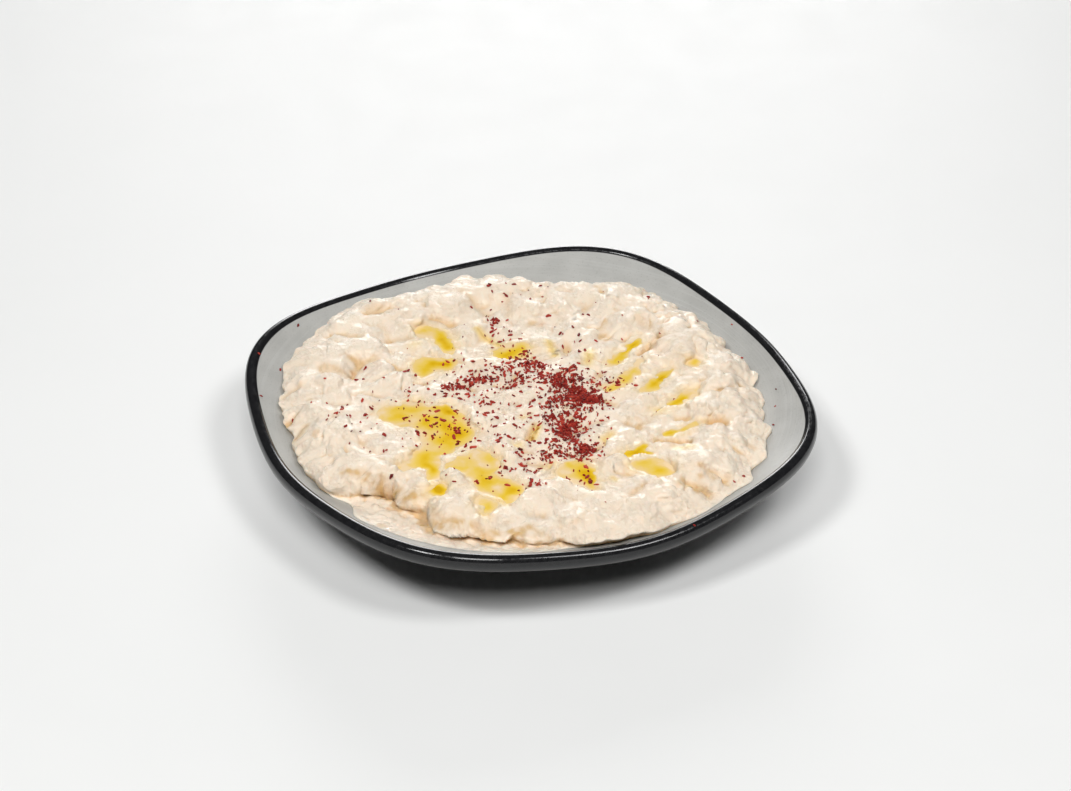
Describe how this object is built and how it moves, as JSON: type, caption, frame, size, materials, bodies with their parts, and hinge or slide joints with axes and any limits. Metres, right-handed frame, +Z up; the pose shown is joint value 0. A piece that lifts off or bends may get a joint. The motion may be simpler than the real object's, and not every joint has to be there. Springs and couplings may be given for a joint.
{
  "type": "bowl of hummus",
  "caption": "Shallow rounded-square dish spread with hummus to above its rim, with pools of olive oil and red sumac flakes.",
  "frame": {"origin": "on the table, under the middle of the dish", "axes": "+Z up; X and Y along the sides of the rounded square, whose corners point between them; the picture looks from -Y, turned about 27 degrees towards -X"},
  "size_m": [0.1824, 0.1824, 0.0296],
  "materials": {
    "dish": "melamine, matte grey inside with a gloss black lip and outside",
    "hummus": "moist lumpy cream-coloured dip with dark red flakes",
    "olive_oil": "clear golden oil"
  },
  "bodies": {
    "root": {"dish": "dish", "hummus": "hummus", "oil_left": "olive_oil", "oil_left_drop": "olive_oil", "oil_front_left": "olive_oil", "oil_front_drip": "olive_oil", "oil_back_left": "olive_oil", "oil_mid_left": "olive_oil", "oil_middle": "olive_oil", "oil_front": "olive_oil", "oil_groove_back": "olive_oil", "oil_groove_middle": "olive_oil", "oil_groove_right": "olive_oil", "oil_groove_front": "olive_oil", "oil_front_right": "olive_oil", "oil_front_middle": "olive_oil", "oil_front_pale": "olive_oil", "oil_right": "olive_oil"}
  },
  "joints": []
}
